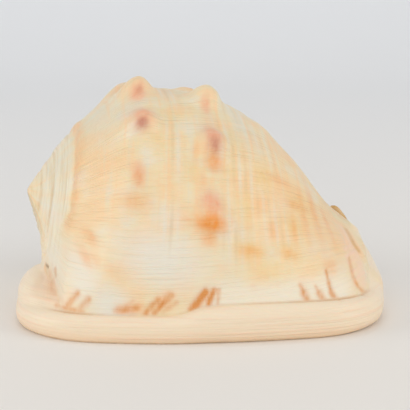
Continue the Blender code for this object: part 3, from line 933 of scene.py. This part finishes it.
coats = (
    # tone, mask, soft step (source, from, to, top) and what breaks it up (grain, strength), from the ground up
    ("peach", None, ("cloud", 0.47, 0.62, 0.6), None),
    ("pale", None, ("cloud", 0.5, 0.36, 0.45), None),
    ("peach", "peach", None, ("cloud", 1.6)),
    ("grey", "grey", None, ("cloud", -1.5)),
    ("pale", "pale", None, ("cloud", 0.8)),
    ("peach", "stripes", ("bands", 0.52, 0.72, 0.5), None),
    ("grey", "stripes", ("bands", 0.46, 0.28, 0.45), None),
    ("peach", "fine", ("lines", 0.5, 0.75, 0.22), None),
    # painted shade in the cords' grooves, and on the next line painted highlight on their ridges
    ("grooveShade", None, ("cord", -0.1, -1.0, 0.36), ("cloud", 3.0)),
    ("pale", None, ("cord", 0.1, 1.0, 0.35), ("cloud", 3.0)),
    ("amber", "amber", None, ("edge", 2.0)),
    ("rosy", "rosy", None, ("edge", 1.2)),
    ("rust", "rust", None, ("edge", 1.1)),
    ("brown", "brown", None, ("edge", 1.6)),
    # painted highlight on the flared band above the lip
    ("flareHighlight", "flareHighlight", None, None),
    ("lip", "lip", None, None),
    # painted warm glow at the foot of the lip
    ("foot", "foot", None, ("cloud", 1.5)),
    ("pink", "layered", ("layers", 0.48, 0.68, 0.45), None),
    ("stain", "stain", None, ("edge", 1.5)),
    ("peel", "peel", None, ("wrinkles", 1.5)),
    ("ridge", "ridge", None, None),
    ("ochre", "ochre", None, ("wrinkles", 1.0)),
    # painted shade along the crease above the lip
    ("crease", "crease", None, ("cloud", 1.5)),
    # painted shade in the corner under the lip's left end
    ("slitShade", "slitShade", None, None),
    ("streak", "streak", None, ("edge", 1.8)),
    # painted shade in the low parts of the spire's thread bump
    ("grooveShade", "spire", ("threads", 0.5, 0.36, 0.3), None),
    # painted warm glow on down-facing faces near the table
    ("under", "under", None, None),
    ("blush", "blush", None, ("wrinkles", 0.8)),
)
satin = {
    "Roughness": 0.42,
    "Specular IOR Level": 0.45,
    "Subsurface Weight": 0.15,
    "Subsurface Radius": (1.0, 0.5, 0.3),
    "Subsurface Scale": 0.003,
    "Coat Weight": 0.1,
    "Coat Roughness": 0.3,
}
# Growth lines on the whorl, layer lines round the lip, wrinkles and threads, as a low bump.
fineRelief = {
    "grains": (("whorl", "lines"), ("peel", "wrinkles"), ("spire", "threads")),
    "strength": 0.95,
    "depth": 0.001,
}


# Matt to satin porcelain-like shell: soft broad shine, with warm light inside its thin edges.
def shellMaterial():
    material = bpy.data.materials.new("satinShell")
    material.use_nodes = True
    tree = material.node_tree
    shader = tree.nodes["Principled BSDF"]
    values = {}
    for name in laid:
        values[name] = addNode(tree, "ShaderNodeAttribute", {"attribute_name": name}).outputs["Fac"]
    opened = addNode(tree, "ShaderNodeCombineXYZ", {}, {"X": values["along"], "Y": values["around"]}).outputs[0]
    places = {"whorl": opened, "object": addNode(tree, "ShaderNodeTexCoord").outputs["Object"]}
    for name, (place, turn, scale, detail, roughness) in grains.items():
        mapped = addNode(tree, "ShaderNodeMapping", {"Rotation": turn, "Scale": scale}, {"Vector": places[place]})
        noise = {"Scale": 1.0, "Detail": detail, "Roughness": roughness}
        values[name] = addNode(tree, "ShaderNodeTexNoise", noise, {"Vector": mapped.outputs[0]}).outputs["Fac"]

    colour = addNode(tree, "ShaderNodeRGB").outputs[0]
    colour.default_value = linearColour(tones["cream"])
    for tone, mask, step, breakUp in coats:
        amount = values.get(mask)
        if step:
            source, low, high, top = step
            ends = {"From Min": low, "From Max": high, "To Max": top, "interpolation_type": "SMOOTHSTEP"}
            stepped = addNode(tree, "ShaderNodeMapRange", ends, {"Value": values[source]}).outputs[0]
            if mask:
                factors = {0: amount, 1: stepped}
                stepped = addNode(tree, "ShaderNodeMath", {"operation": "MULTIPLY"}, factors).outputs[0]
            amount = stepped
        if breakUp:
            grain, strength = breakUp
            aroundOne = {"operation": "MULTIPLY_ADD", 1: strength, 2: 1.0 - 0.5 * strength}
            gain = addNode(tree, "ShaderNodeMath", aroundOne, {0: values[grain]}).outputs[0]
            clamped = {"operation": "MULTIPLY", "use_clamp": True}
            amount = addNode(tree, "ShaderNodeMath", clamped, {0: amount, 1: gain}).outputs[0]
        paint = {"data_type": "RGBA", 7: linearColour(tones[tone])}
        colour = addNode(tree, "ShaderNodeMix", paint, {0: amount, 6: colour}).outputs[2]
    tree.links.new(colour, shader.inputs["Base Color"])

    height = values["layers"]
    for mask, grain in fineRelief["grains"]:
        blend = {0: values[mask], 2: height, 3: values[grain]}
        height = addNode(tree, "ShaderNodeMix", {"data_type": "FLOAT"}, blend).outputs[0]
    low = {"Strength": fineRelief["strength"], "Distance": fineRelief["depth"]}
    bump = addNode(tree, "ShaderNodeBump", low, {"Height": height})
    tree.links.new(bump.outputs[0], shader.inputs["Normal"])
    for socket, value in satin.items():
        shader.inputs[socket].default_value = value
    return material


shell.data.materials.clear()
shell.data.materials.append(shellMaterial())

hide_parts("shell")
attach(shell, "root")

view = {
    "target": (2.1, 12.1, 58.3),
    "distance": 900.0,
    "elevation": 12.0,
    "lens": 129.5,
    "sensor": 36.0,
}
studio = {
    "floorColour": "f0ebe4",
    "wallColour": "f0f2f5",
    "paperRoughness": 0.9,
    "floorReach": 3.0,  # metres, as the other lengths of the sweep
    "frontEdge": -2.0,
    "sweepLength": 5.0,
    "wallStart": 3.0,
    "bend": 0.8,
    "toneStart": 1.6,  # where the floor's tone starts to pass into the wall's, and over what length
    "toneLength": 2.0,
    "sky": (0.98, 0.99, 1.0, 1.0),
    "skyStrength": 0.50,
    "lamps": (
        # name, place, point it is aimed at, size, power in watts, colour
        ("frontSoft", (-0.1, -1.6, 1.0), (0, 0, 0.05), 1.6, 7.3, (1.0, 0.99, 0.97)),
        ("leftFill", (-1.6, -0.4, 0.6), (0, 0, 0.05), 1.2, 8.5, (1.0, 1.0, 1.0)),
        ("rightFill", (1.5, -0.6, 0.8), (0, 0, 0.05), 1.2, 8.3, (1.0, 0.98, 0.95)),
        ("wallWash", (0.0, 0.6, 2.0), (0, 2.2, 0.5), 1.2, 6.0, (1.0, 1.0, 1.0)),
    ),
}


def setUpView():
    target = Vector(view["target"]) * mm
    rise = math.radians(view["elevation"])
    place = target + Vector((0, -math.cos(rise), math.sin(rise))) * view["distance"] * mm
    data = bpy.data.cameras.new("photoView")
    data.lens = view["lens"]
    data.sensor_width = view["sensor"]
    camera = bpy.data.objects.new("photoView", data)
    camera.location = place
    camera.rotation_euler = (target - place).to_track_quat("-Z", "Y").to_euler()
    bpy.context.collection.objects.link(camera)
    bpy.context.scene.camera = camera


# Matt background paper: no shine, and a tone that cools a little towards the back.
def paperMaterial():
    paper = bpy.data.materials.new("mattPaper")
    paper.use_nodes = True
    tree = paper.node_tree
    shader = tree.nodes["Principled BSDF"]
    shader.inputs["Roughness"].default_value = studio["paperRoughness"]
    far = addNode(tree, "ShaderNodeAttribute", {"attribute_name": "far"}).outputs["Fac"]
    ends = {"data_type": "RGBA", 6: linearColour(studio["floorColour"]), 7: linearColour(studio["wallColour"])}
    tone = addNode(tree, "ShaderNodeMix", ends, {0: far}).outputs[2]
    tree.links.new(tone, shader.inputs["Base Color"])
    return paper


# A floor that curves up into a wall behind, like a paper sweep.
def sweep():
    bpy.ops.object.select_all(action="DESELECT")
    bpy.ops.mesh.primitive_grid_add(x_subdivisions=2, y_subdivisions=120, size=2.0)
    floor = bpy.context.object
    floor.name = "paperSweep"
    points = readPoints(floor)
    run = (points[:, 1] + 1.0) * 0.5 * studio["sweepLength"]
    wallStart, bend = studio["wallStart"], studio["bend"]
    turn = np.clip((run - wallStart) / bend, 0.0, math.pi / 2)
    rest = np.maximum(run - wallStart - bend * math.pi / 2, 0.0)
    depth = np.minimum(run, wallStart) + studio["frontEdge"] + bend * np.sin(turn)
    height = bend * (1 - np.cos(turn)) + rest
    writePoints(floor, np.column_stack((points[:, 0] * studio["floorReach"], depth, height)))
    bpy.ops.object.shade_smooth()
    setAttribute(floor, "far", np.clip((run - studio["toneStart"]) / studio["toneLength"], 0.0, 1.0))
    floor.data.materials.append(paperMaterial())


def setUpLight():
    world = bpy.data.worlds.new("softRoom")
    world.use_nodes = True
    background = world.node_tree.nodes["Background"]
    background.inputs["Color"].default_value = studio["sky"]
    background.inputs["Strength"].default_value = studio["skyStrength"]
    bpy.context.scene.world = world
    for name, place, aim, size, power, colour in studio["lamps"]:
        data = bpy.data.lights.new(name, "AREA")
        data.shape = "DISK"
        data.size = size
        data.energy = power
        data.color = colour
        lamp = bpy.data.objects.new(name, data)
        lamp.location = place
        lamp.rotation_euler = (Vector(aim) - Vector(place)).to_track_quat("-Z", "Y").to_euler()
        bpy.context.collection.objects.link(lamp)


setUpView()
sweep()
setUpLight()
bpy.context.scene.view_settings.view_transform = "Standard"
print("view, floor and light set up")
